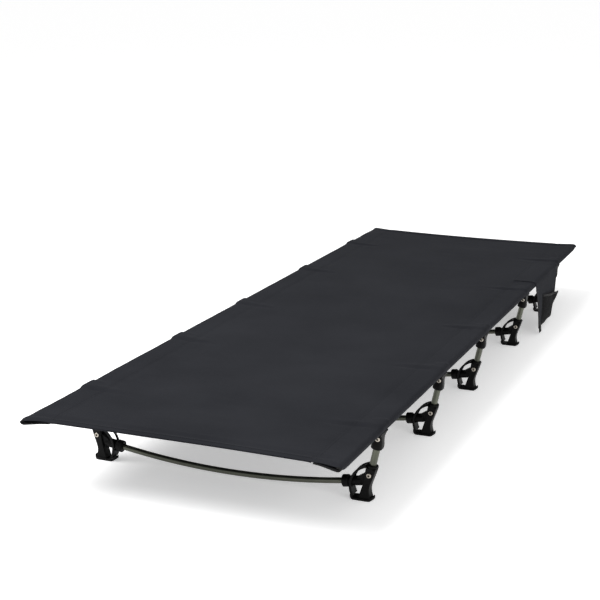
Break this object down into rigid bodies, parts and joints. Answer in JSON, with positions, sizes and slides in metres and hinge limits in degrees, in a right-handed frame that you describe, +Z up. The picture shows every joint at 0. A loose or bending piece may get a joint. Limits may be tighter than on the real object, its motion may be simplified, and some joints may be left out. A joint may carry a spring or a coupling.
{
  "type": "folding camp cot",
  "caption": "Low ultralight folding camp cot: taut cloth cover in side sleeves over two rails, lever legs joined by sprung bow poles, and a hanging side pocket.",
  "frame": {"origin": "on the floor under the middle of the cot", "axes": "+X across, towards the side with the pocket; +Y along, from the foot end to the head end; +Z up"},
  "size_m": [0.6099, 1.9, 0.1472],
  "materials": {
    "cover_cloth": "matte",
    "pocket_cloth": "matte",
    "anodised_tube": "satin",
    "black_nylon": "satin",
    "bright_steel": "satin",
    "elastic_cord": "matte"
  },
  "bodies": {
    "frame": {"bow_shock_cords": "elastic_cord", "bow_1_pole": "anodised_tube", "bow_1_sockets": "black_nylon", "bow_2_pole": "anodised_tube", "bow_2_sockets": "black_nylon", "bow_3_pole": "anodised_tube", "bow_3_sockets": "black_nylon", "bow_4_pole": "anodised_tube", "bow_4_sockets": "black_nylon", "bow_5_pole": "anodised_tube", "bow_5_sockets": "black_nylon"},
    "cover": {"cover_sheet": "cover_cloth", "cover_sleeves": "cover_cloth", "pocket_flap": "pocket_cloth"},
    "rail_left": {"rail_left": "anodised_tube", "rail_left_caps": "black_nylon"},
    "rail_right": {"rail_right": "anodised_tube", "rail_right_caps": "black_nylon"},
    "pocket": {"pocket_back": "pocket_cloth", "pocket_pouch": "pocket_cloth"},
    "lever_1_left": {"lever_1_left_foot": "black_nylon", "lever_1_left_leg_tube": "anodised_tube", "lever_1_left_rail_clip": "black_nylon", "lever_1_left_screws": "bright_steel"},
    "lever_1_right": {"lever_1_right_foot": "black_nylon", "lever_1_right_leg_tube": "anodised_tube", "lever_1_right_rail_clip": "black_nylon", "lever_1_right_screws": "bright_steel"},
    "lever_2_left": {"lever_2_left_foot": "black_nylon", "lever_2_left_leg_tube": "anodised_tube", "lever_2_left_rail_clip": "black_nylon", "lever_2_left_screws": "bright_steel"},
    "lever_2_right": {"lever_2_right_foot": "black_nylon", "lever_2_right_leg_tube": "anodised_tube", "lever_2_right_rail_clip": "black_nylon", "lever_2_right_screws": "bright_steel"},
    "lever_3_left": {"lever_3_left_foot": "black_nylon", "lever_3_left_leg_tube": "anodised_tube", "lever_3_left_rail_clip": "black_nylon", "lever_3_left_screws": "bright_steel"},
    "lever_3_right": {"lever_3_right_foot": "black_nylon", "lever_3_right_leg_tube": "anodised_tube", "lever_3_right_rail_clip": "black_nylon", "lever_3_right_screws": "bright_steel"},
    "lever_4_left": {"lever_4_left_foot": "black_nylon", "lever_4_left_leg_tube": "anodised_tube", "lever_4_left_rail_clip": "black_nylon", "lever_4_left_screws": "bright_steel"},
    "lever_4_right": {"lever_4_right_foot": "black_nylon", "lever_4_right_leg_tube": "anodised_tube", "lever_4_right_rail_clip": "black_nylon", "lever_4_right_screws": "bright_steel"},
    "lever_5_left": {"lever_5_left_foot": "black_nylon", "lever_5_left_leg_tube": "anodised_tube", "lever_5_left_rail_clip": "black_nylon", "lever_5_left_screws": "bright_steel"},
    "lever_5_right": {"lever_5_right_foot": "black_nylon", "lever_5_right_leg_tube": "anodised_tube", "lever_5_right_rail_clip": "black_nylon", "lever_5_right_screws": "bright_steel"}
  },
  "joints": [
    {"name": "lever_1_left_fold", "type": "hinge", "parent": "frame", "child": "lever_1_left", "pos_m": [-0.27308, -0.7305, 0.049], "axis": [0, 1, 0], "range_deg": [0, 65]},
    {"name": "lever_1_right_fold", "type": "hinge", "parent": "frame", "child": "lever_1_right", "pos_m": [0.27308, -0.7305, 0.049], "axis": [0, -1, 0], "range_deg": [0, 65]},
    {"name": "lever_2_left_fold", "type": "hinge", "parent": "frame", "child": "lever_2_left", "pos_m": [-0.27308, -0.3545, 0.049], "axis": [0, 1, 0], "range_deg": [0, 65]},
    {"name": "lever_2_right_fold", "type": "hinge", "parent": "frame", "child": "lever_2_right", "pos_m": [0.27308, -0.3545, 0.049], "axis": [0, -1, 0], "range_deg": [0, 65]},
    {"name": "lever_3_left_fold", "type": "hinge", "parent": "frame", "child": "lever_3_left", "pos_m": [-0.27308, -0.0245, 0.049], "axis": [0, 1, 0], "range_deg": [0, 65]},
    {"name": "lever_3_right_fold", "type": "hinge", "parent": "frame", "child": "lever_3_right", "pos_m": [0.27308, -0.0245, 0.049], "axis": [0, -1, 0], "range_deg": [0, 65]},
    {"name": "lever_4_left_fold", "type": "hinge", "parent": "frame", "child": "lever_4_left", "pos_m": [-0.27308, 0.3705, 0.049], "axis": [0, 1, 0], "range_deg": [0, 65]},
    {"name": "lever_4_right_fold", "type": "hinge", "parent": "frame", "child": "lever_4_right", "pos_m": [0.27308, 0.3705, 0.049], "axis": [0, -1, 0], "range_deg": [0, 65]},
    {"name": "lever_5_left_fold", "type": "hinge", "parent": "frame", "child": "lever_5_left", "pos_m": [-0.27308, 0.7305, 0.049], "axis": [0, 1, 0], "range_deg": [0, 65]},
    {"name": "lever_5_right_fold", "type": "hinge", "parent": "frame", "child": "lever_5_right", "pos_m": [0.27308, 0.7305, 0.049], "axis": [0, -1, 0], "range_deg": [0, 65]},
    {"name": "cover_lift", "type": "slide", "parent": "frame", "child": "cover", "axis": [0, 0, 1], "range_m": [0, 0.12]},
    {"name": "rail_left_draw", "type": "slide", "parent": "cover", "child": "rail_left", "axis": [0, -1, 0], "range_m": [0, 1.85]},
    {"name": "rail_right_draw", "type": "slide", "parent": "cover", "child": "rail_right", "axis": [0, -1, 0], "range_m": [0, 1.85]},
    {"name": "pocket_swing", "type": "hinge", "parent": "cover", "child": "pocket", "pos_m": [0.3011, 0.567, 0.138], "axis": [0, -1, 0], "range_deg": [-11, 80]}
  ]
}
